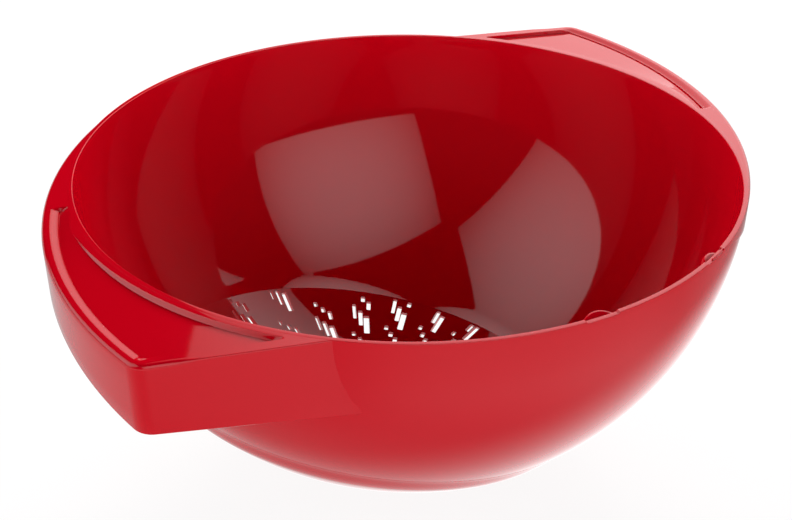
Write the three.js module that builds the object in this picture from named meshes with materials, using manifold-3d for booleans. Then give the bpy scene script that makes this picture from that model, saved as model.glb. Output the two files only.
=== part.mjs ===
// Colander with a hemispherical bowl, a perforated round floor and two hollow side handles.
// Millimetres, +Z up. The origin is on the table, under the middle of the bowl, and the
// X axis runs through the corners of the two handles.

import * as THREE from 'three';
import { mergeVertices } from 'three/addons/utils/BufferGeometryUtils.js';
import Module from 'manifold-3d';

const wasm = await Module();
wasm.setup();

const { cos, sin, tan, atan2, sqrt, PI } = Math;
const radians = THREE.MathUtils.degToRad;

// Bowl wall: a half sphere, open at the top
const bowlRadius = 125;
const wallThickness = 1.8;

// Floor: a slightly flatter dish that fills a round opening in the bottom of the bowl. Its
// radius is the bowl's plus the flattening, and its seam is seen from the bowl's centre at the
// seam angle. Its middle is turned a little away from the lowest point, towards a handle.
const floorThickness = 2.8;
const floorFlattening = 6.1;
const floorSeamAngle = radians(40.81);
const floorLean = radians(13.4);
const floorLeanHeading = radians(162.6);
const floorLipWidth = 8.6;
const perforationMargin = 1;

// Foot: a low round wall under the floor
const footRadius = 39.5;
const footWall = 2.2;
const footDrop = 5;

// Handles: a flat top at rim height over a skirt, hollow and open below
const handleProjection = 33.2;
const handleRootAngle = radians(19.3);
const handleSweepAngle = radians(85);
const handleTailAngle = radians(67);
const handleCornerRadius = 7;
const handleTopThickness = 2.6;
const skirtThickness = 2;
const skirtDepth = 25;
const skirtBottomLean = radians(5);
const recessDepth = 1.3;
const recessMargin = 3.2;
const recessRimGap = 3.2;
const recessEndAngle = radians(41);

// Rim lugs: two small round shelves inside the rim, each below a shallow notch in the rim
const lugs = [
  { heading: radians(237.6), reach: 4.3 },
  { heading: radians(263), reach: 2.5 },
];
const lugRadius = 6.2;
const lugThickness = 2.2;
const notchDepth = 0.6;
const notchWidth = 11;

// Perforations, in a pattern that repeats twenty times round the bowl's axis
const sectors = 20;
const slotTilt = radians(15);
const wideSlot = { length: 9.6, width: 2.6 };
const middleSlot = { length: 8, width: 2 };
const narrowSlot = { length: 7.6, width: 1.6 };
const longHole = { length: 4.4, width: 1.9 };
const shortHole = { length: 2.7, width: 1.9 };
const smallHole = { length: 2.3, width: 1.8 };

// Each group steps outwards and round. The first angle is measured up from the lowest
// point of the bowl, the second round its axis.
const perforationGroups = [
  { members: [smallHole], from: [7, 4], step: [0, 0], every: 2 },
  { members: [wideSlot], from: [13, 13], step: [0, 0], every: 2 },
  { members: [longHole, shortHole, smallHole], from: [20.3, 0.2], step: [1.8, 1.75] },
  { members: [wideSlot, middleSlot, narrowSlot], from: [25.3, 13.3], step: [1.9, 1.65] },
  { members: [longHole, shortHole, smallHole], from: [29.8, 9.7], step: [1.75, 1.6] },
  { members: [wideSlot, middleSlot, narrowSlot], from: [36.4, 4.4], step: [1.8, 1.5] },
  { members: [longHole, shortHole, smallHole], from: [40.4, 1.6], step: [1.5, 1.4] },
];

// Room left between neighbouring pieces, and how far cutting tools run past what they cut
const seatGap = 0.3;
const overrun = 5;
const weldDistance = 0.0001;

// Fineness of the round surfaces
const roundSegments = 64;
const arcDivisions = 12;
const wallRings = 12;
const floorSegments = 40;
const floorRings = 6;
const lipRings = 1;

const wallOuterRadius = bowlRadius + wallThickness;
const handleReach = wallOuterRadius + handleProjection;
const floorDishRadius = bowlRadius + floorFlattening;
const floorSeamRadius = bowlRadius * sin(floorSeamAngle);
const lipAngle = floorSeamAngle + floorLipWidth / wallOuterRadius;
const floorDirection = new THREE.Vector3(
  sin(floorLean) * cos(floorLeanHeading),
  sin(floorLean) * sin(floorLeanHeading),
  -cos(floorLean),
);
const dishOffset =
  sqrt(floorDishRadius ** 2 - floorSeamRadius ** 2) - bowlRadius * cos(floorSeamAngle);
const dishOuterRadius = floorDishRadius + floorThickness;
const dishCentre = floorDirection.clone().multiplyScalar(-dishOffset);
const rimHeight = dishOuterRadius - dishCentre.z + footDrop;

// Distance of a dish surface from the bowl's centre, at an angle from the dish's own axis
function dishDistance(sphereRadius, angle) {
  return sqrt(sphereRadius ** 2 - (dishOffset * sin(angle)) ** 2) - dishOffset * cos(angle);
}

// A point of a turned profile, at an angle up from straight below
function profilePoint(distance, angle) {
  return new THREE.Vector2(distance * sin(angle), -distance * cos(angle));
}

function arcPoints(distanceAt, from, to, steps) {
  const points = [];
  for (let i = 0; i <= steps; i += 1) {
    const angle = from + ((to - from) * i) / steps;
    points.push(profilePoint(distanceAt(angle), angle));
  }
  return points;
}

// Turns a profile round the vertical axis
function turned(points, segments = roundSegments) {
  const geometry = new THREE.LatheGeometry(points, segments);
  geometry.rotateX(PI / 2);
  return geometry;
}

function toSolid(geometry) {
  const bare = geometry.clone();
  bare.deleteAttribute('normal');
  bare.deleteAttribute('uv');
  const merged = mergeVertices(bare, weldDistance);
  const corners = merged.index.array;
  const kept = [];
  for (let i = 0; i < corners.length; i += 3) {
    const [a, b, c] = [corners[i], corners[i + 1], corners[i + 2]];
    if (a !== b && b !== c && c !== a) kept.push(a, b, c);
  }
  return new wasm.Manifold(
    new wasm.Mesh({
      numProp: 3,
      vertProperties: merged.attributes.position.array,
      triVerts: Uint32Array.from(kept),
    }),
  );
}

function toGeometry(solid) {
  const { vertProperties, triVerts } = solid.getMesh();
  const geometry = new THREE.BufferGeometry();
  geometry.setAttribute('position', new THREE.BufferAttribute(vertProperties, 3));
  geometry.setIndex(new THREE.BufferAttribute(triVerts, 1));
  geometry.computeVertexNormals();
  return geometry;
}

function ball(radius) {
  return toSolid(new THREE.SphereGeometry(radius, roundSegments, roundSegments / 2).rotateX(PI / 2));
}

// Turns a shape built about the vertical axis so that it is built about the floor's axis
function leanWithFloor(geometry) {
  const down = new THREE.Vector3(0, 0, -1);
  geometry.applyQuaternion(new THREE.Quaternion().setFromUnitVectors(down, floorDirection));
  return geometry;
}

// A cone from the bowl's centre, round the floor's axis, that reaches past the floor
function floorCone(halfAngle) {
  const reach = dishOuterRadius + overrun;
  const depth = reach / cos(halfAngle);
  const tip = new THREE.Vector2(0, 0);
  const profile = [new THREE.Vector2(0, -reach), profilePoint(depth, halfAngle), tip];
  return toSolid(leanWithFloor(turned(profile)));
}

function placeAtHeading(geometry, heading, distance, height) {
  geometry.rotateZ(heading);
  geometry.translate(distance * cos(heading), distance * sin(heading), height);
  return geometry;
}

// Bowl wall, with the opening for the floor, the rim notches and the lugs under them
function bowlWall() {
  const lowest = floorSeamAngle - floorLean - overrun / bowlRadius;
  const outer = arcPoints(() => wallOuterRadius, lowest, PI / 2, wallRings);
  const inner = arcPoints(() => bowlRadius, PI / 2, lowest, wallRings);
  const profile = [...outer, ...inner, outer[0].clone()];
  let solid = toSolid(turned(profile)).subtract(floorCone(floorSeamAngle));

  const wallMiddle = bowlRadius + wallThickness / 2;
  for (const { heading, reach } of lugs) {
    const notch = new THREE.BoxGeometry(2 * reach + overrun, notchWidth, notchDepth + overrun);
    placeAtHeading(notch, heading, wallMiddle, (overrun - notchDepth) / 2);
    solid = solid.subtract(toSolid(notch));

    const disc = new THREE.CylinderGeometry(lugRadius, lugRadius, lugThickness, roundSegments / 2);
    disc.rotateX(PI / 2);
    const discCentre = bowlRadius - reach + lugRadius;
    placeAtHeading(disc, heading, discCentre, -notchDepth - lugThickness / 2);
    solid = solid.add(toSolid(disc).intersect(ball(wallMiddle)));
  }
  return solid;
}

// One through hole, square to the bowl's surface, with its length tilted from straight outwards
function holeCutter(hole, upAngle, heading) {
  const outwards = new THREE.Vector3(
    cos(upAngle) * cos(heading),
    cos(upAngle) * sin(heading),
    sin(upAngle),
  );
  const round = new THREE.Vector3(-sin(heading), cos(heading), 0);
  const along = outwards.clone().multiplyScalar(cos(slotTilt)).addScaledVector(round, -sin(slotTilt));
  const across = round.clone().multiplyScalar(cos(slotTilt)).addScaledVector(outwards, sin(slotTilt));
  const through = new THREE.Vector3().crossVectors(along, across);
  const depth = floorThickness + 2 * overrun;
  const box = new THREE.BoxGeometry(hole.length, hole.width, depth);
  const place = new THREE.Matrix4().makeBasis(along, across, through);
  place.setPosition(surfaceDirection(upAngle, heading).multiplyScalar(bowlRadius));
  box.applyMatrix4(place);
  return toSolid(box);
}

function surfaceDirection(upAngle, heading) {
  return new THREE.Vector3(
    sin(upAngle) * cos(heading),
    sin(upAngle) * sin(heading),
    -cos(upAngle),
  );
}

// Perforated floor: its inside meets the wall at the seam, its lip laps outside the wall
function strainerFloor() {
  const seatRadius = wallOuterRadius + seatGap;
  const edgeAngle = floorSeamAngle - seatGap / bowlRadius;
  const outside = (angle) => dishDistance(dishOuterRadius, angle);
  const inside = (angle) => dishDistance(floorDishRadius, angle);
  const profile = [
    ...arcPoints(outside, 0, lipAngle, floorRings),
    ...arcPoints(() => seatRadius, lipAngle, edgeAngle, lipRings),
    ...arcPoints(inside, edgeAngle, 0, floorRings),
  ];
  const dish = toSolid(leanWithFloor(turned(profile, floorSegments)));

  const zoneAngle = floorSeamAngle - perforationMargin / bowlRadius;
  let cutters = null;
  for (const group of perforationGroups) {
    group.members.forEach((hole, member) => {
      const upAngle = radians(group.from[0] + member * group.step[0]);
      const turn = radians(group.from[1] + member * group.step[1]);
      for (let sector = 0; sector < sectors; sector += group.every ?? 1) {
        const heading = turn + (2 * PI * sector) / sectors;
        const fromAxis = surfaceDirection(upAngle, heading).angleTo(floorDirection);
        if (fromAxis > zoneAngle) continue;
        const cutter = holeCutter(hole, upAngle, heading);
        cutters = cutters ? cutters.add(cutter) : cutter;
      }
    });
  }
  return dish.subtract(cutters.intersect(floorCone(zoneAngle)));
}

// Foot ring, cut to sit under the floor
function footRing() {
  const bottom = -rimHeight;
  const top = bottom + footRadius;
  const inner = footRadius - footWall;
  const profile = [
    new THREE.Vector2(inner, bottom),
    new THREE.Vector2(footRadius, bottom),
    new THREE.Vector2(footRadius, top),
    new THREE.Vector2(inner, top),
    new THREE.Vector2(inner, bottom),
  ];
  const floorTool = ball(dishOuterRadius + seatGap).translate(dishCentre.toArray());
  return toSolid(turned(profile)).subtract(floorTool);
}

// Outline of the right handle seen from above, drawn in by an inset from its real edge.
// A straight side runs from the rim to the corner and a curved side runs back into the rim.
function handleOutline(inset) {
  const root = new THREE.Vector2(cos(handleRootAngle), sin(handleRootAngle));
  root.multiplyScalar(wallOuterRadius);
  const corner = new THREE.Vector2(handleReach, 0);
  const side = corner.clone().sub(root).normalize();
  const sideFacing = new THREE.Vector2(-side.y, side.x);
  const sideDistance = corner.dot(sideFacing) - inset;

  const extra =
    (handleReach ** 2 - wallOuterRadius ** 2) /
    (2 * wallOuterRadius - 2 * handleReach * cos(handleSweepAngle));
  const sweepCentre = new THREE.Vector2(cos(handleSweepAngle), -sin(handleSweepAngle));
  sweepCentre.multiplyScalar(-extra);
  const sweepRadius = wallOuterRadius + extra - inset;

  const rounding = handleCornerRadius - inset;
  const base = sideFacing.clone().multiplyScalar(sideDistance - rounding);
  const offset = base.clone().sub(sweepCentre);
  const along = offset.dot(side);
  const travel = sqrt((sweepRadius - rounding) ** 2 - offset.lengthSq() + along ** 2) - along;
  const roundingCentre = base.clone().addScaledVector(side, travel);

  const sideAngle = atan2(sideFacing.y, sideFacing.x);
  const meeting = roundingCentre.clone().sub(sweepCentre);
  const meetingAngle = atan2(meeting.y, meeting.x);
  const start = sideFacing.clone().multiplyScalar(sideDistance);

  const shape = new THREE.Shape();
  shape.moveTo(0, 0);
  shape.lineTo(start.x, start.y);
  shape.absarc(roundingCentre.x, roundingCentre.y, rounding, sideAngle, meetingAngle, true);
  shape.absarc(sweepCentre.x, sweepCentre.y, sweepRadius, meetingAngle, -handleSweepAngle, true);
  shape.lineTo(0, 0);
  return shape;
}

// The outline as a slab between two heights below the rim
function handleSlab(inset, bottom, top) {
  const geometry = new THREE.ExtrudeGeometry(handleOutline(inset), {
    depth: top - bottom,
    bevelEnabled: false,
    curveSegments: arcDivisions,
  });
  geometry.translate(0, 0, bottom);
  return toSolid(geometry);
}

// Cuts away the part of the curved side that lies further round than an angle from the corner
function tailCutter(angle) {
  const size = 2 * handleReach;
  const box = new THREE.BoxGeometry(size, size, size);
  box.translate(0, -handleReach, 0);
  box.rotateZ(-angle);
  return toSolid(box);
}

// Everything below the skirt's lower edge, which rises towards the tail
function belowSkirt() {
  const size = 2 * handleReach;
  const box = new THREE.BoxGeometry(size, size, size);
  box.translate(0, 0, -handleReach);
  box.rotateX(-skirtBottomLean);
  box.translate(0, 0, -skirtDepth);
  return toSolid(box);
}

function handleTop() {
  const recess = handleSlab(recessMargin, -recessDepth, overrun).subtract(tailCutter(recessEndAngle));
  const recessInner = wallOuterRadius + recessRimGap;
  const rimTool = new THREE.CylinderGeometry(recessInner, recessInner, bowlRadius, roundSegments);
  return handleSlab(0, -handleTopThickness, 0)
    .subtract(ball(wallOuterRadius + seatGap))
    .subtract(tailCutter(handleTailAngle))
    .subtract(recess.subtract(toSolid(rimTool.rotateX(PI / 2))));
}

function handleSkirt() {
  const deepest = skirtDepth + handleReach * tan(skirtBottomLean);
  return handleSlab(0, -deepest, -handleTopThickness)
    .subtract(handleSlab(skirtThickness, -deepest - overrun, overrun))
    .subtract(belowSkirt())
    .subtract(ball(wallOuterRadius + seatGap))
    .subtract(tailCutter(handleTailAngle));
}

const glossyRed = () => new THREE.MeshStandardMaterial({ color: 0xb80f22, roughness: 0.15, metalness: 0 });
const satinRed = () => new THREE.MeshStandardMaterial({ color: 0xc8283a, roughness: 0.4, metalness: 0 });

const colander = new THREE.Group();
colander.position.z = rimHeight;

function addPiece(name, solid, material, turn = 0) {
  const mesh = new THREE.Mesh(toGeometry(solid), material);
  mesh.name = name;
  mesh.rotation.z = turn;
  colander.add(mesh);
}

addPiece('bowl_wall', bowlWall(), glossyRed());
addPiece('strainer_floor', strainerFloor(), glossyRed());
addPiece('foot_ring', footRing(), satinRed());
addPiece('right_handle_top', handleTop(), glossyRed());
addPiece('right_handle_skirt', handleSkirt(), satinRed());
addPiece('left_handle_top', handleTop(), glossyRed(), PI);
addPiece('left_handle_skirt', handleSkirt(), satinRed(), PI);

const object = new THREE.Group();
object.add(colander);

export default object;
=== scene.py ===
from math import asin, atan2, cos, hypot, pi, radians, sin, sqrt, tan

import bmesh
import bpy
from mathutils import Matrix, Vector


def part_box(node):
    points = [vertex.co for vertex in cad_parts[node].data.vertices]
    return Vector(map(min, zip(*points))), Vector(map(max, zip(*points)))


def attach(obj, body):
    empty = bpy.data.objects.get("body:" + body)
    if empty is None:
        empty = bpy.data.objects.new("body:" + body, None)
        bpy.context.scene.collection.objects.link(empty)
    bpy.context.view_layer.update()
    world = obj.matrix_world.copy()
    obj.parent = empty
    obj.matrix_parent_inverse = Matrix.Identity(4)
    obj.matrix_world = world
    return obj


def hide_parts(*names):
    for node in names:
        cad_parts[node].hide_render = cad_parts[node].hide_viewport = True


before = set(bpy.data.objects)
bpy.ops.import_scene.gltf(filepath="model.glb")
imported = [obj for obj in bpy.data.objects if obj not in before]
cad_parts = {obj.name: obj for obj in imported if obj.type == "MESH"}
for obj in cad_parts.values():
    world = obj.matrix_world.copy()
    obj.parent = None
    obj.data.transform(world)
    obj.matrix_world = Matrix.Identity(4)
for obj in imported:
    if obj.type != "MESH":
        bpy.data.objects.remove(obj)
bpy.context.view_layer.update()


# Camera: it stands 0.42 m from the rim's middle and 0.21 m above it, and looks down over the
# near edge, with one handle to the left in front and the other to the right behind.
BOWL_RADIUS = 0.125
RIM_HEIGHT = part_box("bowl_wall")[1].z
CAMERA_TURN = radians(-60.8)
CAMERA_BACK = 3.389 * BOWL_RADIUS
CAMERA_RISE = 1.668 * BOWL_RADIUS
CAMERA_YAW = 0.0101
CAMERA_PITCH = -0.5436
CAMERA_ROLL = -0.0019
CAMERA_LENS = 55.92

camera_data = bpy.data.cameras.new("camera")
camera_data.sensor_width = 36
camera_data.lens = CAMERA_LENS
camera_data.clip_start = 0.01
camera_data.clip_end = 50
camera = bpy.data.objects.new("camera", camera_data)
bpy.context.scene.collection.objects.link(camera)
turn = Matrix.Rotation(CAMERA_TURN, 4, "Z")
aim = (
    Matrix.Rotation(CAMERA_YAW, 4, "Z")
    @ Matrix.Rotation(CAMERA_PITCH, 4, "X")
    @ Matrix.Rotation(CAMERA_ROLL, 4, "Y")
    @ Matrix.Rotation(pi / 2, 4, "X")
)
stand = turn @ Vector((0, -CAMERA_BACK, CAMERA_RISE)) + Vector((0, 0, RIM_HEIGHT))
camera.matrix_world = Matrix.Translation(stand) @ turn @ aim
bpy.context.scene.camera = camera


# Bowl: a half sphere of glossy red plastic, moulded with a thin flat rim. A round opening,
# turned a little away from the lowest point, takes the perforated floor.
WALL_THICKNESS = 0.0018
WALL_OUTER = BOWL_RADIUS + WALL_THICKNESS
WALL_STEPS = 480
RIM_INNER_ROUND = 0.0003
RIM_OUTER_ROUND = 0.0002
FLOOR_LEAN = radians(13.4)
FLOOR_LEAN_HEADING = radians(162.6)
SEAM_RADIUS = 0.0817
SEAM_ANGLE = asin(SEAM_RADIUS / BOWL_RADIUS)
SPARE_BELOW_SEAM = radians(2)
CRISP_ANGLE = radians(28)
TINY = 1e-7
floor_direction = Vector((
    sin(FLOOR_LEAN) * cos(FLOOR_LEAN_HEADING),
    sin(FLOOR_LEAN) * sin(FLOOR_LEAN_HEADING),
    -cos(FLOOR_LEAN),
))


def arc(radius, start, end, steps, centre=(0, 0)):
    """Points (r, z) of an arc; angles are measured up from straight down."""
    return [
        (
            centre[0] + radius * sin(start + (end - start) * i / steps),
            centre[1] - radius * cos(start + (end - start) * i / steps),
        )
        for i in range(steps + 1)
    ]


def spun(points, steps, closed=False):
    """A bmesh spun from (r, z) points about the upright axis."""
    bm = bmesh.new()
    line = [bm.verts.new((r, 0, z)) for r, z in points]
    edges = [bm.edges.new(pair) for pair in zip(line, line[1:])]
    if closed:
        edges.append(bm.edges.new((line[-1], line[0])))
    bmesh.ops.spin(
        bm, geom=line + edges, cent=(0, 0, 0), axis=(0, 0, 1),
        angle=2 * pi, steps=steps, use_merge=True,
    )
    bmesh.ops.remove_doubles(bm, verts=bm.verts, dist=TINY)
    return bm


def shade_crisp(bm, crisp_angle):
    """Shade an edge crisp where its two faces meet at more than an angle."""
    for edge in bm.edges:
        if len(edge.link_faces) == 2:
            edge.smooth = edge.calc_face_angle(0) < crisp_angle


def finished(bm, name, material, crisp_angle=CRISP_ANGLE, turned=0.0):
    """A finished piece: normals out, smooth faces, crisp edges, rim plane at its height."""
    bmesh.ops.remove_doubles(bm, verts=bm.verts, dist=2 * TINY)
    bmesh.ops.dissolve_degenerate(bm, edges=bm.edges, dist=TINY)
    bmesh.ops.recalc_face_normals(bm, faces=bm.faces)
    bmesh.ops.rotate(
        bm, verts=bm.verts, cent=(0, 0, 0), matrix=Matrix.Rotation(turned, 3, "Z"),
    )
    bmesh.ops.translate(bm, verts=bm.verts, vec=(0, 0, RIM_HEIGHT))
    for face in bm.faces:
        face.smooth = True
    shade_crisp(bm, crisp_angle)
    mesh = bpy.data.meshes.new(name)
    bm.to_mesh(mesh)
    bm.free()
    piece = bpy.data.objects.new(name, mesh)
    bpy.context.scene.collection.objects.link(piece)
    piece.data.materials.append(material)
    return piece


def screen_colour(red, green, blue):
    """A colour written as the picture shows it, as the shader's linear numbers."""
    return tuple(
        c / 12.92 if c <= 0.04045 else ((c + 0.055) / 1.055) ** 2.4
        for c in (red / 255, green / 255, blue / 255)
    )


def red_plastic(name, deep, bright, roughness, grain):
    """Moulded red plastic: a slow drift of colour, a faint flow pattern and a fine skin."""
    material = bpy.data.materials.new(name)
    material.use_nodes = True
    nodes, links = material.node_tree.nodes, material.node_tree.links
    shader = nodes["Principled BSDF"]
    place = nodes.new("ShaderNodeTexCoord")

    drift = nodes.new("ShaderNodeTexNoise")
    drift.inputs["Scale"].default_value = 9
    drift.inputs["Detail"].default_value = 2
    links.new(place.outputs["Object"], drift.inputs["Vector"])
    tint = nodes.new("ShaderNodeMix")
    tint.data_type = "RGBA"
    tint.inputs["A"].default_value = (*screen_colour(*deep), 1)
    tint.inputs["B"].default_value = (*screen_colour(*bright), 1)
    links.new(drift.outputs["Fac"], tint.inputs["Factor"])
    links.new(tint.outputs["Result"], shader.inputs["Base Color"])

    wear = nodes.new("ShaderNodeTexNoise")
    wear.inputs["Scale"].default_value = 60
    wear.inputs["Detail"].default_value = 4
    links.new(place.outputs["Object"], wear.inputs["Vector"])
    spread = nodes.new("ShaderNodeMapRange")
    spread.inputs["To Min"].default_value = roughness * 0.8
    spread.inputs["To Max"].default_value = roughness * 1.2
    links.new(wear.outputs["Fac"], spread.inputs["Value"])
    links.new(spread.outputs["Result"], shader.inputs["Roughness"])

    skin = nodes.new("ShaderNodeTexNoise")
    skin.inputs["Scale"].default_value = 110
    skin.inputs["Detail"].default_value = 1
    links.new(place.outputs["Object"], skin.inputs["Vector"])
    bump = nodes.new("ShaderNodeBump")
    bump.inputs["Strength"].default_value = grain
    bump.inputs["Distance"].default_value = 0.0002
    links.new(skin.outputs["Fac"], bump.inputs["Height"])
    links.new(bump.outputs["Normal"], shader.inputs["Normal"])
    shader.inputs["IOR"].default_value = 1.5
    return material


gloss_red = red_plastic("gloss_red", (184, 0, 18), (194, 2, 25), 0.04, 0.03)

lowest = SEAM_ANGLE - FLOOR_LEAN - SPARE_BELOW_SEAM
rim_points = [
    *arc(BOWL_RADIUS, lowest, pi / 2 - RIM_INNER_ROUND / BOWL_RADIUS, 64),
    *arc(
        RIM_INNER_ROUND, -pi / 2, -pi, 4, (BOWL_RADIUS + RIM_INNER_ROUND, -RIM_INNER_ROUND),
    )[1:],
    *arc(RIM_OUTER_ROUND, pi, pi / 2, 5, (WALL_OUTER - RIM_OUTER_ROUND, -RIM_OUTER_ROUND)),
    *arc(WALL_OUTER, pi / 2 - RIM_OUTER_ROUND / WALL_OUTER, lowest, 64)[1:],
]
bowl = spun(rim_points, WALL_STEPS)
seam_depth = BOWL_RADIUS * cos(SEAM_ANGLE)
bmesh.ops.bisect_plane(
    bowl, geom=bowl.verts[:] + bowl.edges[:] + bowl.faces[:], dist=TINY,
    plane_co=floor_direction * seam_depth, plane_no=floor_direction, clear_outer=True,
)
bmesh.ops.bridge_loops(bowl, edges=[e for e in bowl.edges if e.is_boundary])

# The wall's edge round that opening rolls over softly towards the floor.
ROLL_WIDTH = 0.0061
ROLL_DROP = 0.0008
ROLL_STEPS = 9
INSIDE_WITHIN = 0.00002
for i in range(1, ROLL_STEPS + 1):
    ring_depth = BOWL_RADIUS * cos(SEAM_ANGLE + ROLL_WIDTH / BOWL_RADIUS * i / ROLL_STEPS)
    bmesh.ops.bisect_plane(
        bowl, geom=bowl.verts[:] + bowl.edges[:] + bowl.faces[:], dist=TINY,
        plane_co=floor_direction * ring_depth, plane_no=floor_direction,
    )
for vert in bowl.verts:
    if abs(vert.co.length - BOWL_RADIUS) > INSIDE_WITHIN:
        continue
    from_seam = (vert.co.angle(floor_direction) - SEAM_ANGLE) * BOWL_RADIUS / ROLL_WIDTH
    if from_seam < 1:
        vert.co *= 1 + ROLL_DROP * (1 - max(0, from_seam)) ** 2 / BOWL_RADIUS

# The rim dips in two places, each over a small round lug that stands out into the bowl. The
# lug's top slopes down towards the wall, and its edge is well rounded.
LUG_HEADINGS = (radians(237.6), radians(263))
LUG_REACHES = (0.0038, 0.0024)
LUG_RADIUS = 0.0075
LUG_THICKNESS = 0.0022
LUG_SLOPES = (radians(29), radians(40))
LUG_EDGE_ROUND = 0.0008
LUG_TIP_DEPTH = 0.0003
NOTCH_DEPTH = 0.0006
NOTCH_HALF_ANGLE = radians(2.5)
NOTCH_END_ANGLE = radians(0.35)
NOTCH_REACH_DOWN = 0.003
NOTCH_MARGIN = 1e-4


def parts_of(faces):
    """The corners, edges and faces of some faces, each once and in a fixed order."""
    corners = dict.fromkeys(v for f in faces for v in f.verts)
    edges = dict.fromkeys(e for f in faces for e in f.edges)
    return [*corners, *edges, *faces]


def beside(heading, point):
    """How far round from a heading a point lies, in radians."""
    return (atan2(point.y, point.x) - heading + pi) % (2 * pi) - pi


for heading, reach, slope in zip(LUG_HEADINGS, LUG_REACHES, LUG_SLOPES):
    for side in (-1, 1):
        for angle in (NOTCH_HALF_ANGLE, NOTCH_HALF_ANGLE + NOTCH_END_ANGLE):
            near = [
                f for f in bowl.faces
                if abs(beside(heading, f.calc_center_median())) < 2 * NOTCH_HALF_ANGLE
                and f.calc_center_median().z > -2 * NOTCH_REACH_DOWN
            ]
            across = heading + side * angle + pi / 2
            bmesh.ops.bisect_plane(
                bowl, geom=parts_of(near), dist=10 * TINY,
                plane_co=(0, 0, 0), plane_no=(cos(across), sin(across), 0),
            )
    for vert in bowl.verts:
        in_notch = abs(beside(heading, vert.co)) < NOTCH_HALF_ANGLE + NOTCH_MARGIN
        if in_notch and vert.co.z > -NOTCH_REACH_DOWN:
            vert.co.z -= NOTCH_DEPTH * (1 + vert.co.z / NOTCH_REACH_DOWN)

    lug = bmesh.new()
    bmesh.ops.create_cone(
        lug, cap_ends=True, segments=72, radius1=LUG_RADIUS, radius2=LUG_RADIUS,
        depth=LUG_THICKNESS,
    )
    level = [e for e in lug.edges if abs(e.verts[0].co.z - e.verts[1].co.z) < TINY]
    bmesh.ops.bevel(
        lug, geom=level, offset=LUG_EDGE_ROUND, affect="EDGES", segments=5,
        profile=0.5, material=-1,
    )
    outer_cut = WALL_OUTER - WALL_THICKNESS / 2 - (BOWL_RADIUS - reach + LUG_RADIUS)
    bmesh.ops.bisect_plane(
        lug, geom=lug.verts[:] + lug.edges[:] + lug.faces[:], dist=TINY,
        plane_co=(outer_cut, 0, 0), plane_no=(1, 0, 0), clear_outer=True,
    )
    bmesh.ops.holes_fill(lug, edges=[e for e in lug.edges if e.is_boundary], sides=0)
    bmesh.ops.rotate(
        lug, verts=lug.verts, cent=(outer_cut, 0, LUG_THICKNESS / 2),
        matrix=Matrix.Rotation(slope, 3, "Y"),
    )
    foot_depth = LUG_TIP_DEPTH + (reach + WALL_THICKNESS / 2) * sin(slope)
    bmesh.ops.translate(
        lug, verts=lug.verts,
        vec=(BOWL_RADIUS - reach + LUG_RADIUS, 0, -foot_depth - LUG_THICKNESS / 2),
    )
    bmesh.ops.rotate(
        lug, verts=lug.verts, cent=(0, 0, 0), matrix=Matrix.Rotation(heading, 3, "Z"),
    )
    lug_mesh = bpy.data.meshes.new("lug")
    lug.to_mesh(lug_mesh)
    lug.free()
    bowl.from_mesh(lug_mesh)
    bpy.data.meshes.remove(lug_mesh)

bowl_piece = finished(bowl, "bowl", gloss_red)
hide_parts("bowl_wall")
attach(bowl_piece, "root")


# Perforated floor: a slightly flatter dish of the same plastic that fills the bowl's round
# opening. Its edge laps over the bowl's outside in a soft ramp, and slots and holes run round it.
DISH_RADIUS = 0.1311
FLOOR_THICKNESS = 0.0028
FLOOR_SINK = ROLL_DROP
LIP_REACH = 0.0125
LIP_ANGLE = SEAM_ANGLE + LIP_REACH / WALL_OUTER
LIP_RAMP = 0.012
LIP_EDGE = 0.00005
LIP_HOLD = 0.0001
FLOOR_STEPS = 288
SEAM_GROOVE = 0.00006
SECTORS = 20
SLOT_TILT = radians(15)
WIDE_SLOT = (0.0096, 0.0026)
MIDDLE_SLOT = (0.008, 0.002)
NARROW_SLOT = (0.0076, 0.0016)
LONG_HOLE = (0.0044, 0.0019)
SHORT_HOLE = (0.0027, 0.0019)
SMALL_HOLE = (0.0023, 0.0018)
HOLE_CORNER = 0.0003
HOLE_MARGIN = 0.001
ZONE_ANGLE = SEAM_ANGLE - HOLE_MARGIN / BOWL_RADIUS
PUNCH_DEPTH = 0.016
# No corner of a punch lies farther than this from its middle.
PUNCH_REACH = 0.0105
# Each group: its holes, the first one's angle up from the lowest point and round the axis,
# the step to the next one, and in how many of the twenty sectors it comes.
HOLE_GROUPS = (
    ((SMALL_HOLE,), (7, 4), (0, 0), 2),
    ((WIDE_SLOT,), (13, 13), (0, 0), 2),
    ((LONG_HOLE, SHORT_HOLE, SMALL_HOLE), (20.3, 0.2), (1.8, 1.75), 1),
    ((WIDE_SLOT, MIDDLE_SLOT, NARROW_SLOT), (25.3, 13.3), (1.9, 1.65), 1),
    ((LONG_HOLE, SHORT_HOLE, SMALL_HOLE), (29.8, 9.7), (1.75, 1.6), 1),
    ((WIDE_SLOT, MIDDLE_SLOT, NARROW_SLOT), (36.4, 4.4), (1.8, 1.5), 1),
    ((LONG_HOLE, SHORT_HOLE, SMALL_HOLE), (40.4, 1.6), (1.5, 1.4), 1),
)

dish_offset = sqrt(DISH_RADIUS ** 2 - SEAM_RADIUS ** 2) - BOWL_RADIUS * cos(SEAM_ANGLE)
dish_outer = DISH_RADIUS + FLOOR_THICKNESS


def dish_arc(radius, start, end, steps):
    """Points of a dish surface, at angles seen from the bowl's centre."""
    points = []
    for i in range(steps + 1):
        angle = start + (end - start) * i / steps
        reach = sqrt(radius ** 2 - (dish_offset * sin(angle)) ** 2) - dish_offset * cos(angle)
        points.append((reach * sin(angle), -reach * cos(angle)))
    return points


def eased(value, low, high):
    """0 below low, 1 above high, smooth between."""
    share = min(1, max(0, (value - low) / (high - low)))
    return share * share * (3 - 2 * share)


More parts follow.
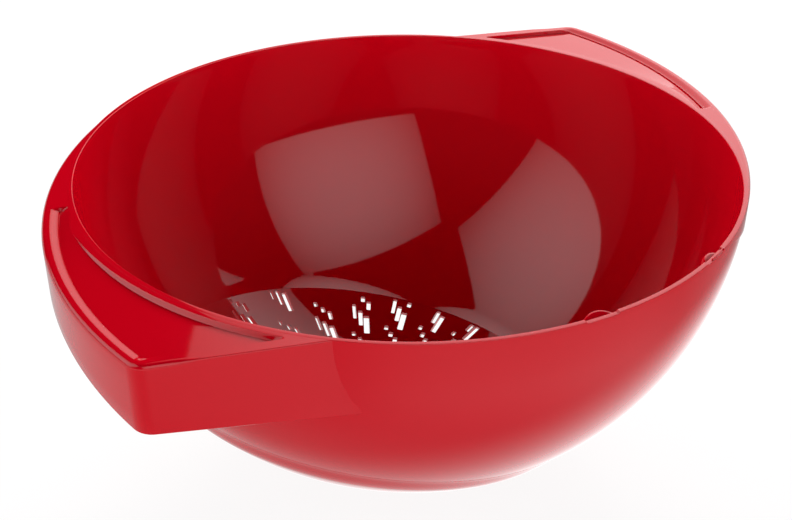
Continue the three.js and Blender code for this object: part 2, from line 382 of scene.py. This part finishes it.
ramp_angle = LIP_ANGLE - LIP_RAMP / WALL_OUTER
lapped = WALL_OUTER + LIP_EDGE
lip_points = []
for r, z in dish_arc(dish_outer, ramp_angle, LIP_ANGLE, 14):
    angle = atan2(r, -z)
    reach = hypot(r, z) + (lapped - hypot(r, z)) * eased(angle, ramp_angle, LIP_ANGLE)
    lip_points.append((reach * sin(angle), -reach * cos(angle)))
groove = SEAM_GROOVE / BOWL_RADIUS
groove_foot = BOWL_RADIUS + FLOOR_SINK + SEAM_GROOVE
floor_points = [
    *dish_arc(dish_outer, 0, ramp_angle, 44)[:-1],
    *lip_points,
    *arc(WALL_OUTER - LIP_HOLD, LIP_ANGLE, SEAM_ANGLE + groove, 4),
    (groove_foot * sin(SEAM_ANGLE), -groove_foot * cos(SEAM_ANGLE)),
    *dish_arc(DISH_RADIUS + FLOOR_SINK, SEAM_ANGLE - groove, 0, 44),
]
dish = spun(floor_points, FLOOR_STEPS)
lean = Vector((0, 0, -1)).rotation_difference(floor_direction).to_matrix()
bmesh.ops.rotate(dish, verts=dish.verts, cent=(0, 0, 0), matrix=lean)

punches = bmesh.new()
for holes, first, step, every in HOLE_GROUPS:
    for member, (length, width) in enumerate(holes):
        up_angle = radians(first[0] + member * step[0])
        for sector in range(0, SECTORS, every):
            heading = radians(first[1] + member * step[1]) + 2 * pi * sector / SECTORS
            out, up = sin(up_angle), cos(up_angle)
            toward = Vector((out * cos(heading), out * sin(heading), -up))
            if toward.angle(floor_direction) > ZONE_ANGLE:
                continue
            outwards = Vector((up * cos(heading), up * sin(heading), out))
            round_way = Vector((-sin(heading), cos(heading), 0))
            along = outwards * cos(SLOT_TILT) - round_way * sin(SLOT_TILT)
            across = round_way * cos(SLOT_TILT) + outwards * sin(SLOT_TILT)
            through = along.cross(across)
            centre = toward * (BOWL_RADIUS + FLOOR_THICKNESS)
            place = Matrix((
                along * length, across * width, through * PUNCH_DEPTH,
            )).transposed().to_4x4()
            place.translation = centre
            made = bmesh.ops.create_cube(punches, size=1, matrix=place)["verts"]
            upright = [
                e for e in dict.fromkeys(e for v in made for e in v.link_edges)
                if abs((e.verts[1].co - e.verts[0].co).normalized().dot(through)) > 0.99
            ]
            bmesh.ops.bevel(
                punches, geom=upright, offset=HOLE_CORNER, affect="EDGES", segments=2,
                profile=0.5, material=-1,
            )
            if toward.angle(floor_direction) + length / BOWL_RADIUS < ZONE_ANGLE:
                continue
            side = (toward - floor_direction * toward.dot(floor_direction)).normalized()
            limit = side * cos(ZONE_ANGLE) - floor_direction * sin(ZONE_ANGLE)
            corners = {v for v in punches.verts if (v.co - centre).length < PUNCH_REACH}
            own = [f for f in punches.faces if corners.issuperset(f.verts)]
            bmesh.ops.bisect_plane(
                punches, geom=parts_of(own), dist=TINY,
                plane_co=(0, 0, 0), plane_no=limit, clear_outer=True,
            )
            bmesh.ops.holes_fill(
                punches, edges=[e for e in punches.edges if e.is_boundary], sides=0,
            )

bmesh.ops.recalc_face_normals(punches, faces=punches.faces)
bmesh.ops.translate(punches, verts=punches.verts, vec=(0, 0, RIM_HEIGHT))
punch_mesh = bpy.data.meshes.new("punches")
punches.to_mesh(punch_mesh)
punches.free()
punch_set = bpy.data.objects.new("punches", punch_mesh)
bpy.context.scene.collection.objects.link(punch_set)
floor_piece = finished(dish, "strainer_dish", gloss_red)
cut = floor_piece.modifiers.new("punched", "BOOLEAN")
cut.operation = "DIFFERENCE"
cut.solver = "EXACT"
cut.object = punch_set
cut_mesh = bpy.data.meshes.new_from_object(
    floor_piece.evaluated_get(bpy.context.evaluated_depsgraph_get())
)
floor_piece.modifiers.clear()
floor_piece.data = cut_mesh
bpy.data.objects.remove(punch_set)
punched = bmesh.new()
punched.from_mesh(cut_mesh)
shade_crisp(punched, CRISP_ANGLE)
punched.to_mesh(cut_mesh)
punched.free()
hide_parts("strainer_floor")
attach(floor_piece, "root")


# Foot: a low round wall moulded under the floor, with a rounded lower edge to stand on.
FOOT_RADIUS = 0.0395
FOOT_WALL = 0.0022
FOOT_ROUND = 0.0005
FOOT_STEPS = 144
# The wall is spun up to one height first; then its top follows the floor, held in it a little.
FOOT_TOP = -0.115
FOOT_HOLD = 0.0004

foot_inner = FOOT_RADIUS - FOOT_WALL
foot_low = FOOT_ROUND - RIM_HEIGHT
foot_points = [
    (foot_inner, FOOT_TOP),
    (foot_inner, foot_low),
    *arc(FOOT_ROUND, -pi / 2, 0, 4, (foot_inner + FOOT_ROUND, foot_low))[1:],
    *arc(FOOT_ROUND, 0, pi / 2, 4, (FOOT_RADIUS - FOOT_ROUND, foot_low)),
    (FOOT_RADIUS, FOOT_TOP),
]
foot = spun(foot_points, FOOT_STEPS, closed=True)
dish_centre = floor_direction * -dish_offset
for vert in foot.verts:
    if abs(vert.co.z - FOOT_TOP) < TINY:
        reach = hypot(vert.co.x - dish_centre.x, vert.co.y - dish_centre.y)
        vert.co.z = dish_centre.z - sqrt((dish_outer - FOOT_HOLD) ** 2 - reach ** 2)
foot_piece = finished(foot, "foot", gloss_red)
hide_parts("foot_ring")
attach(foot_piece, "root")


# Handles: two hollow grips moulded on opposite sides of the rim. Seen from above each runs
# straight out from the rim to a rounded corner and sweeps back into the rim in a long arc.
# The top carries a shallow recess with sloped sides; a skirt hangs from its edge.
HANDLE_REACH = 0.160
HANDLE_ROOT = radians(19.3)
HANDLE_SWEEP = radians(85)
HANDLE_TAIL_END = radians(98)
HANDLE_CORNER = 0.007
HANDLE_CRISP_ANGLE = radians(24)
HANDLE_TOP_THICKNESS = 0.0026
HELD_IN_WALL = 0.0004
TOP_DROP = 0.00002
# The upper edge is softly rounded along the sweep and crisper along the straight side.
SWEEP_EDGE_ROUND = 0.0015
STRAIGHT_EDGE_ROUND = 0.0004
CRISPER_FROM = radians(2.5)
CRISPER_TO = radians(6)
# The skirt runs out in a thin tail at the far end of the sweep.
SKIRT_THICKNESS = 0.002
SKIRT_DEPTH = 0.025
SKIRT_LEAN = radians(5)
SKIRT_EDGE_ROUND = 0.0006
TAIL_START = radians(70)
TAIL_DEPTH = 0.001
TAIL_SINK = 0.0003
# A border lies round the recess. Along the sweep it is wider and slopes gently in, with a
# soft round where the slope starts.
BORDER_FLAT = 0.0012
BORDER_INSET = 0.0043
SWEEP_EXTRA = 0.0012
BORDER_DROP = 0.001
BORDER_SLOPE_SHARE = 0.93
BORDER_SHARES = (0.3, 0.6, 0.85, 0.95, 1)
BORDER_ROUND = 0.4
BORDER_FULL_ROOM = 0.003
# The recess has a steep step as its outer side. Its side next to the bowl is a slope that
# thins out to a point, and the two meet in a round tip at the straight side.
RECESS_DEPTH = 0.0014
STEP_WIDTH = 0.0003
SLOPE_WIDTH = 0.0014
RECESS_RIM_RADIUS = 0.1284
RECESS_POINT_SHIFT = 0.0012
RECESS_END_SHIFT = 0.0026
RECESS_FULL_TO = radians(6)
RECESS_POINT = radians(31.5)
RECESS_END = radians(41)
RECESS_END_FADE = radians(0.6)
RECESS_TIP_ROUND = 0.0016
# A slope's own small rounds, as a share of its width, and where its points lie.
SLOPE_ROUND = 0.15
SLOPE_SHARES = (0, 0.05, 0.1, 0.15, 0.5, 0.85, 0.9, 0.95, 1)
# Sections stand at these angles from the corner, with so many steps between them, closest
# where the outline or the recess turns.
SECTION_ANGLES = (24.5, 14, 9, 4, -5, -39, -42)
SECTION_STEPS = (34, 44, 22, 54, 110, 24, 130)
wall_middle = BOWL_RADIUS + WALL_THICKNESS / 2


def handle_corner(inset):
    """The outline's straight side, sweep and corner arc, drawn in by an inset."""
    root = Vector((cos(HANDLE_ROOT), sin(HANDLE_ROOT))) * WALL_OUTER
    corner = Vector((HANDLE_REACH, 0))
    side = (corner - root).normalized()
    facing = Vector((-side.y, side.x))
    side_distance = corner.dot(facing) - inset
    extra = (HANDLE_REACH ** 2 - WALL_OUTER ** 2) / (
        2 * WALL_OUTER - 2 * HANDLE_REACH * cos(HANDLE_SWEEP)
    )
    sweep_centre = Vector((cos(HANDLE_SWEEP), -sin(HANDLE_SWEEP))) * -extra
    sweep_radius = WALL_OUTER + extra - inset
    rounding = HANDLE_CORNER - inset
    base = facing * (side_distance - rounding)
    offset = base - sweep_centre
    along = offset.dot(side)
    travel = sqrt((sweep_radius - rounding) ** 2 - offset.length_squared + along ** 2) - along
    centre = base + side * travel
    facing_angle = atan2(facing.y, facing.x)
    meeting = (centre - sweep_centre).normalized()
    first = centre + facing * rounding
    last = centre + meeting * rounding
    return {
        "facing_angle": facing_angle, "side_distance": side_distance,
        "sweep_centre": sweep_centre, "sweep_radius": sweep_radius,
        "centre": centre, "rounding": rounding,
        "first": atan2(first.y, first.x), "last": atan2(last.y, last.x),
    }


corners = {0: handle_corner(0)}


def outline(angle, inset):
    """How far the handle's outline lies from the bowl's axis, at an angle from the corner."""
    if angle < -HANDLE_SWEEP:
        return WALL_OUTER - inset - TAIL_SINK * eased(-angle, HANDLE_SWEEP, HANDLE_TAIL_END)
    if inset not in corners:
        corners[inset] = handle_corner(inset)
    shape = corners[inset]
    if angle > shape["first"]:
        return shape["side_distance"] / cos(angle - shape["facing_angle"])
    centre, radius = shape["centre"], shape["rounding"]
    if angle < shape["last"]:
        centre, radius = shape["sweep_centre"], shape["sweep_radius"]
    along = Vector((cos(angle), sin(angle))).dot(centre)
    return along + sqrt(radius ** 2 - centre.length_squared + along ** 2)


def slope_drop(share):
    """How far a recess side has dropped, with a small round at its top and its foot."""
    if share < SLOPE_ROUND:
        return share ** 2 / SLOPE_ROUND / 2 / (1 - SLOPE_ROUND)
    if share > 1 - SLOPE_ROUND:
        return 1 - (1 - share) ** 2 / SLOPE_ROUND / 2 / (1 - SLOPE_ROUND)
    return (share - SLOPE_ROUND / 2) / (1 - SLOPE_ROUND)


def handle_section(angle):
    """The handle's wall as one closed loop of points, at an angle from the corner."""
    tail = -angle
    rise = eased(tail, TAIL_START, HANDLE_TAIL_END)
    edge_r = max(outline(angle, 0), WALL_OUTER)
    low = -SKIRT_DEPTH - tan(SKIRT_LEAN) * edge_r * sin(angle)
    low = low * (1 - rise) - TAIL_DEPTH * rise
    crisper = eased(angle, CRISPER_FROM, CRISPER_TO)
    full_edge = round(SWEEP_EDGE_ROUND + (STRAIGHT_EDGE_ROUND - SWEEP_EDGE_ROUND) * crisper, 7)
    edge = min(full_edge, -low / 2)

    thinning = min(1, max(0, (tail - RECESS_FULL_TO) / (RECESS_POINT - RECESS_FULL_TO))) ** 2
    kept = 1 - eased(tail, RECESS_END - RECESS_END_FADE, RECESS_END)
    on_sweep = 1 - eased(angle, corners[0]["last"], corners[0]["first"])
    border_inset = round(BORDER_INSET + SWEEP_EXTRA * on_sweep, 7)
    border = max(outline(angle, full_edge), wall_middle)
    border_top = max(outline(angle, round(full_edge + BORDER_FLAT, 7)), wall_middle)
    outer_top = max(outline(angle, border_inset), wall_middle)
    step = outer_top - max(outline(angle, round(border_inset + STEP_WIDTH, 7)), wall_middle)
    inner_top = RECESS_RIM_RADIUS + RECESS_POINT_SHIFT * thinning
    inner_top -= RECESS_END_SHIFT * eased(tail, RECESS_POINT, RECESS_END)
    slope = SLOPE_WIDTH * (1 - thinning)
    room = max(0, outer_top - inner_top)
    inner_top = min(inner_top, outer_top)
    fit = min(1, room / (slope + step)) if slope + step > 0 else 0
    inner_foot = inner_top + slope * fit
    outer_foot = outer_top - step * fit
    oblique = STEP_WIDTH / step if step > 0 else 1

    def depth_at(r, share):
        """Depth of the recess at a radius: share runs from its bowl side to its outer side."""
        from_rim = r - inner_top
        from_step = (outer_top - r) * oblique
        tip = RECESS_TIP_ROUND
        if from_rim < tip and from_step < tip:
            in_tip = tip - hypot(tip - from_rim, tip - from_step)
            from_rim, from_step = min(from_rim, in_tip), min(from_step, in_tip)
        drop = slope_drop(min(1, max(0, from_step / STEP_WIDTH)))
        if thinning < 1:
            down_slope = from_rim / SLOPE_WIDTH / (1 - thinning)
            drop = min(drop, slope_drop(min(1, max(0, down_slope))))
        deepest = (1 - thinning) + thinning * share
        return RECESS_DEPTH * kept * deepest * drop

    points = [(wall_middle, -TOP_DROP), (min(WALL_OUTER, inner_top), -TOP_DROP)]
    for share in SLOPE_SHARES:
        r = inner_top + (inner_foot - inner_top) * share
        points.append((r, -TOP_DROP - depth_at(r, 0)))
    for i in range(1, 10):
        r = inner_foot + (outer_foot - inner_foot) * i / 10
        points.append((r, -TOP_DROP - depth_at(r, i / 10)))
    sunk = BORDER_DROP * on_sweep * kept * min(1, fit * room / BORDER_FULL_ROOM)
    for share in reversed(SLOPE_SHARES):
        r = outer_top + (outer_foot - outer_top) * share
        points.append((r, -TOP_DROP - max(depth_at(r, 1), sunk)))
    for share in BORDER_SHARES:
        drop = sunk * max(1 - share / BORDER_SLOPE_SHARE, BORDER_ROUND * (1 - share))
        points.append((outer_top + (border_top - outer_top) * share, -TOP_DROP - drop))
    points.append((border_top + (border - border_top) * 0.5, -TOP_DROP))
    shell = len(points)
    for i in range(7):
        turned = i * pi / 12
        inset = round(edge * (1 - sin(turned)), 7)
        points.append((outline(angle, inset), -TOP_DROP - edge * (1 - cos(turned))))
    lower_round = min(SKIRT_EDGE_ROUND, -low / 4)
    for i in range(1, 5):
        points.append((outline(angle, 0), -edge + (low + lower_round + edge) * i / 4))
    for i in range(1, 4):
        turned = i * pi / 6
        inset = round(lower_round * (1 - cos(turned)), 7)
        points.append((outline(angle, inset), low + lower_round * (1 - sin(turned))))
    lining = len(points)
    for i in range(4):
        turned = i * pi / 6
        inset = round(SKIRT_THICKNESS - lower_round * (1 - sin(turned)), 7)
        points.append((outline(angle, inset), low + lower_round * (1 - cos(turned))))
    inner = outline(angle, SKIRT_THICKNESS)
    skirt_foot = low + lower_round
    under = max(-HANDLE_TOP_THICKNESS, skirt_foot)
    for i in range(1, 5):
        points.append((inner, skirt_foot + (under - skirt_foot) * i / 4))
    for i in range(1, 4):
        points.append((inner + (wall_middle - inner) * i / 4, under))
    points.append((wall_middle, under))
    # Every point stays outside the middle of the bowl's wall, the outer shell a little more.
    held = []
    for i, (r, z) in enumerate(points):
        least = sqrt(wall_middle ** 2 - z * z) + (HELD_IN_WALL if shell <= i < lining else 0)
        reach = max(r, least)
        held.append((reach * cos(angle), reach * sin(angle), z))
    return held[::-1]


def handle(name, turned):
    """One handle, extruded from section to section, from its straight side to its tail."""
    stops = [*map(radians, SECTION_ANGLES), -HANDLE_TAIL_END]
    angles = []
    for start, end, count in zip(stops, stops[1:], SECTION_STEPS):
        angles += [start + (end - start) * i / count for i in range(count)]
    bm = bmesh.new()
    end_face = bm.faces.new([bm.verts.new(point) for point in handle_section(angles[0])])
    edges = end_face.edges[:]
    for angle in [*angles[1:], -HANDLE_TAIL_END]:
        drawn = bmesh.ops.extrude_edge_only(bm, edges=edges)["geom"]
        edges = [g for g in drawn if isinstance(g, bmesh.types.BMEdge)]
        ring = [g for g in drawn if isinstance(g, bmesh.types.BMVert)]
        for vert, point in zip(ring, handle_section(angle)):
            vert.co = point
    bm.faces.new(ring)
    piece = finished(bm, name, gloss_red, HANDLE_CRISP_ANGLE, turned)
    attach(piece, "root")
    return piece


right_handle = handle("right_handle", 0)
left_handle = handle("left_handle", pi)
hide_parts("right_handle_top", "right_handle_skirt")
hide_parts("left_handle_top", "left_handle_skirt")


# Table: a wide sheet of white paper under the colander. The camera sees it almost white with a
# soft shadow, and it lights the colander from below.
TABLE_REACH = 6
TABLE_GLOW = 0.9
TABLE_BOUNCE = 0.55
# In the gloss the table carries a painted shadow: it is dim near the colander and white farther
# away.
TABLE_PAINTED_SHADOW = 0.3
TABLE_SHADE_NEAR = 0.35
TABLE_SHADE_FAR = 1.1
# Two painted pools of light brighten it towards two of the soft boxes: heading, half angle and
# how much.
TABLE_LIGHT_POOLS = ((radians(-58), radians(52), 0.32), (radians(-180), radians(62), 0.3))
POOL_NEAR = 0.13
POOL_FAR = 0.21
# A painted disc of light lies on it a little behind the colander: its middle, its radii and how
# much.
LIGHT_DISC_MIDDLE = (0.04, 0.08)
LIGHT_DISC_RADII = (0.12, 0.215)
LIGHT_DISC_GAIN = 1.05


def soft_step(tree, value, low, high, at_low, at_high):
    """A node that leads smoothly from one level to another while a value rises."""
    step = tree.nodes.new("ShaderNodeMapRange")
    step.interpolation_type = "SMOOTHSTEP"
    step.inputs["From Min"].default_value = low
    step.inputs["From Max"].default_value = high
    step.inputs["To Min"].default_value = at_low
    step.inputs["To Max"].default_value = at_high
    tree.links.new(value, step.inputs["Value"])
    return step


def by_ray(tree, ray, others, these):
    """A level that one kind of ray sees unlike all others; each is a number or an output."""
    choice = tree.nodes.new("ShaderNodeMix")
    tree.links.new(ray, choice.inputs["Factor"])
    for socket, level in (("A", others), ("B", these)):
        if isinstance(level, bpy.types.NodeSocket):
            tree.links.new(level, choice.inputs[socket])
        else:
            choice.inputs[socket].default_value = level
    return choice.outputs["Result"]


table = bmesh.new()
bmesh.ops.create_grid(table, x_segments=1, y_segments=1, size=TABLE_REACH)
table_mesh = bpy.data.meshes.new("table")
table.to_mesh(table_mesh)
table.free()
table_top = bpy.data.objects.new("table", table_mesh)
bpy.context.scene.collection.objects.link(table_top)

table_white = bpy.data.materials.new("table_white")
table_white.use_nodes = True
tree = table_white.node_tree
nodes, links = tree.nodes, tree.links
paper = nodes["Principled BSDF"]
paper.inputs["Base Color"].default_value = (0.92, 0.92, 0.92, 1)
paper.inputs["Roughness"].default_value = 0.9
paper.inputs["Specular IOR Level"].default_value = 0
light_path = nodes.new("ShaderNodeLightPath")
glossy_ray = light_path.outputs["Is Glossy Ray"]
camera_ray = light_path.outputs["Is Camera Ray"]
place = nodes.new("ShaderNodeTexCoord")
away = nodes.new("ShaderNodeVectorMath")
away.operation = "LENGTH"
links.new(place.outputs["Object"], away.inputs[0])
bearing = nodes.new("ShaderNodeVectorMath")
bearing.operation = "NORMALIZE"
links.new(place.outputs["Object"], bearing.inputs[0])

# Painted pools of light that glossy rays see on the table, towards two of the soft boxes.
in_pools = soft_step(tree, away.outputs["Value"], POOL_NEAR, POOL_FAR, 0, 1)
near_level = nodes.new("ShaderNodeValue")
near_level.outputs["Value"].default_value = TABLE_PAINTED_SHADOW
for heading, half_angle, gain in TABLE_LIGHT_POOLS:
    toward_box = nodes.new("ShaderNodeVectorMath")
    toward_box.operation = "DOT_PRODUCT"
    toward_box.inputs[1].default_value = turn @ Vector((cos(heading), sin(heading), 0))
    links.new(bearing.outputs["Vector"], toward_box.inputs[0])
    pool = soft_step(tree, toward_box.outputs["Value"], cos(half_angle), 1, 0, gain)
    total = nodes.new("ShaderNodeMath")
    total.operation = "MULTIPLY_ADD"
    links.new(pool.outputs["Result"], total.inputs[0])
    links.new(in_pools.outputs["Result"], total.inputs[1])
    links.new(near_level.outputs["Value"], total.inputs[2])
    near_level = total
# Painted disc of light on the table a little behind the colander, seen in the gloss.
from_light_disc = nodes.new("ShaderNodeVectorMath")
from_light_disc.operation = "DISTANCE"
from_light_disc.inputs[1].default_value = turn @ Vector((*LIGHT_DISC_MIDDLE, 0))
links.new(place.outputs["Object"], from_light_disc.inputs[0])
light_disc = soft_step(tree, from_light_disc.outputs["Value"], *LIGHT_DISC_RADII, LIGHT_DISC_GAIN, 0)
with_light_disc = nodes.new("ShaderNodeMath")
with_light_disc.operation = "ADD"
links.new(near_level.outputs["Value"], with_light_disc.inputs[0])
links.new(light_disc.outputs["Result"], with_light_disc.inputs[1])
# Painted shadow in the gloss: the table's glow is dim near the colander and white farther off.
mirrored = soft_step(
    tree, away.outputs["Value"], TABLE_SHADE_NEAR, TABLE_SHADE_FAR, TABLE_PAINTED_SHADOW, 1,
)
links.new(with_light_disc.outputs["Value"], mirrored.inputs["To Min"])

glow = nodes.new("ShaderNodeEmission")
glow.inputs["Color"].default_value = (1, 1, 1, 1)
links.new(by_ray(tree, glossy_ray, 1, mirrored.outputs["Result"]), glow.inputs["Strength"])
glow_share = by_ray(tree, camera_ray, by_ray(tree, glossy_ray, TABLE_BOUNCE, 1), TABLE_GLOW)
blend = nodes.new("ShaderNodeMixShader")
links.new(glow_share, blend.inputs["Fac"])
links.new(paper.outputs["BSDF"], blend.inputs[1])
links.new(glow.outputs["Emission"], blend.inputs[2])
links.new(blend.outputs["Shader"], nodes["Material Output"].inputs["Surface"])
table_mesh.materials.append(table_white)


# Room: bright all round, brighter still low down, and dark overhead. Glossy surfaces see only a
# thin strip of it at the horizon, and the camera sees plain white. Each light has its level,
# its level higher up, and the sines of the angles where it starts and ends to change.
ROOM_ROUND = (1.68, 0.05, 0.4, 0.7)
ROOM_LOW_DOWN = (1.5, 0, 0.02, 0.17)
ROOM_HORIZON = (1, 0, 0, 0.12)

world = bpy.data.worlds.new("studio")
world.use_nodes = True
bpy.context.scene.world = world
tree = world.node_tree
nodes, links = tree.nodes, tree.links
room = nodes["Background"]
room.inputs["Color"].default_value = (1, 1, 1, 1)
light_path = nodes.new("ShaderNodeLightPath")
direction = nodes.new("ShaderNodeTexCoord")
split = nodes.new("ShaderNodeSeparateXYZ")
links.new(direction.outputs["Generated"], split.inputs["Vector"])
all_round, low_down, horizon = (
    soft_step(tree, split.outputs["Z"], start, end, level, above).outputs["Result"]
    for level, above, start, end in (ROOM_ROUND, ROOM_LOW_DOWN, ROOM_HORIZON)
)
lit_room = nodes.new("ShaderNodeMath")
lit_room.operation = "ADD"
links.new(all_round, lit_room.inputs[0])
links.new(low_down, lit_room.inputs[1])
room_level = by_ray(
    tree, light_path.outputs["Is Glossy Ray"], lit_room.outputs["Value"], horizon,
)
links.new(room_level, room.inputs["Strength"])
seen_white = nodes.new("ShaderNodeBackground")
seen_white.inputs["Color"].default_value = (1, 1, 1, 1)
seen_white.inputs["Strength"].default_value = 1
mix = nodes.new("ShaderNodeMixShader")
links.new(light_path.outputs["Is Camera Ray"], mix.inputs["Fac"])
links.new(room.outputs["Background"], mix.inputs[1])
links.new(seen_white.outputs["Background"], mix.inputs[2])
links.new(mix.outputs["Shader"], nodes["World Output"].inputs["Surface"])


# Soft boxes: three stand round the colander and lean in over it, each brightest in its middle.
# Only glossy surfaces see them. A box's lower and upper edge have their distance from the
# rim's middle, half width and height above the rim; a heading of 0 is to the right.
BOX_LOWER = (1.20, 0.83, 0.25)
BOX_UPPER = (0.513, 0.733, 1.185)
BOX_STRENGTH = 1.95
BOX_SIDE_LOSS = 0.62
BOX_END_LOSS = 0.36
BOX_BRIGHT_HEIGHT = 0.85
# Name, heading, and the shares of the way up where the box starts and ends.
BOXES = (
    ("front_box", radians(-58), 0, 1),
    ("side_box", radians(-180), 0, 1),
    ("back_box", radians(62), -0.22, 0.85),
)

box_glow = bpy.data.materials.new("box_glow")
box_glow.use_nodes = True
nodes, links = box_glow.node_tree.nodes, box_glow.node_tree.links
nodes.remove(nodes["Principled BSDF"])
place = nodes.new("ShaderNodeUVMap")
place.uv_map = "across"
split = nodes.new("ShaderNodeSeparateXYZ")
links.new(place.outputs["UV"], split.inputs["Vector"])
level = nodes.new("ShaderNodeValue")
level.outputs["Value"].default_value = BOX_STRENGTH
for axis, bright, loss in (("X", 0, BOX_SIDE_LOSS), ("Y", BOX_BRIGHT_HEIGHT, BOX_END_LOSS)):
    away = nodes.new("ShaderNodeMath")
    away.operation = "SUBTRACT"
    away.inputs[1].default_value = bright
    links.new(split.outputs[axis], away.inputs[0])
    square = nodes.new("ShaderNodeMath")
    square.operation = "MULTIPLY"
    links.new(away.outputs["Value"], square.inputs[0])
    links.new(away.outputs["Value"], square.inputs[1])
    kept = nodes.new("ShaderNodeMath")
    kept.operation = "MULTIPLY_ADD"
    kept.inputs[1].default_value = -loss
    kept.inputs[2].default_value = 1
    links.new(square.outputs["Value"], kept.inputs[0])
    both = nodes.new("ShaderNodeMath")
    both.operation = "MULTIPLY"
    links.new(level.outputs["Value"], both.inputs[0])
    links.new(kept.outputs["Value"], both.inputs[1])
    level = both
lit = nodes.new("ShaderNodeEmission")
lit.inputs["Color"].default_value = (1, 1, 1, 1)
links.new(level.outputs["Value"], lit.inputs["Strength"])
links.new(lit.outputs["Emission"], nodes["Material Output"].inputs["Surface"])

for name, heading, reach_down, reach_up in BOXES:
    bm = bmesh.new()
    across = bm.loops.layers.uv.new("across")
    box_corners = ((-1, 0), (1, 0), (1, 2), (-1, 2))
    verts = []
    for side, height in box_corners:
        share = reach_down + (reach_up - reach_down) * height / 2
        out, half, up = (a + (b - a) * share for a, b in zip(BOX_LOWER, BOX_UPPER))
        verts.append(bm.verts.new((out, half * side, up)))
    sheet = bm.faces.new(verts)
    for loop, corner in zip(sheet.loops, box_corners):
        loop[across].uv = corner
    bmesh.ops.subdivide_edges(bm, edges=bm.edges[:], cuts=6, use_grid_fill=True)
    bmesh.ops.transform(
        bm, verts=bm.verts,
        matrix=Matrix.Translation((0, 0, RIM_HEIGHT)) @ turn @ Matrix.Rotation(heading, 4, "Z"),
    )
    mesh = bpy.data.meshes.new(name)
    bm.to_mesh(mesh)
    bm.free()
    mesh.materials.append(box_glow)
    panel = bpy.data.objects.new(name, mesh)
    bpy.context.scene.collection.objects.link(panel)
    panel.visible_camera = False
    panel.visible_diffuse = False
    panel.visible_shadow = False


# Lamp: a soft lamp behind the colander lights the rim and the handle tops from above. It looks
# at the rim's middle and keeps out of the gloss.
LAMP_PLACE = (0.06, 1.14, 0.61)
LAMP_SIZE = (0.8, 0.6)
LAMP_POWER = 27

lamp_data = bpy.data.lights.new("back_lamp", "AREA")
lamp_data.shape = "RECTANGLE"
lamp_data.size, lamp_data.size_y = LAMP_SIZE
lamp_data.energy = LAMP_POWER
lamp = bpy.data.objects.new("back_lamp", lamp_data)
bpy.context.scene.collection.objects.link(lamp)
rim_middle = Vector((0, 0, RIM_HEIGHT))
lamp.location = rim_middle + turn @ Vector(LAMP_PLACE)
lamp.rotation_mode = "QUATERNION"
lamp.rotation_quaternion = (rim_middle - lamp.location).to_track_quat("-Z", "Y")
lamp.visible_glossy = False

bpy.context.scene.view_settings.view_transform = "Standard"
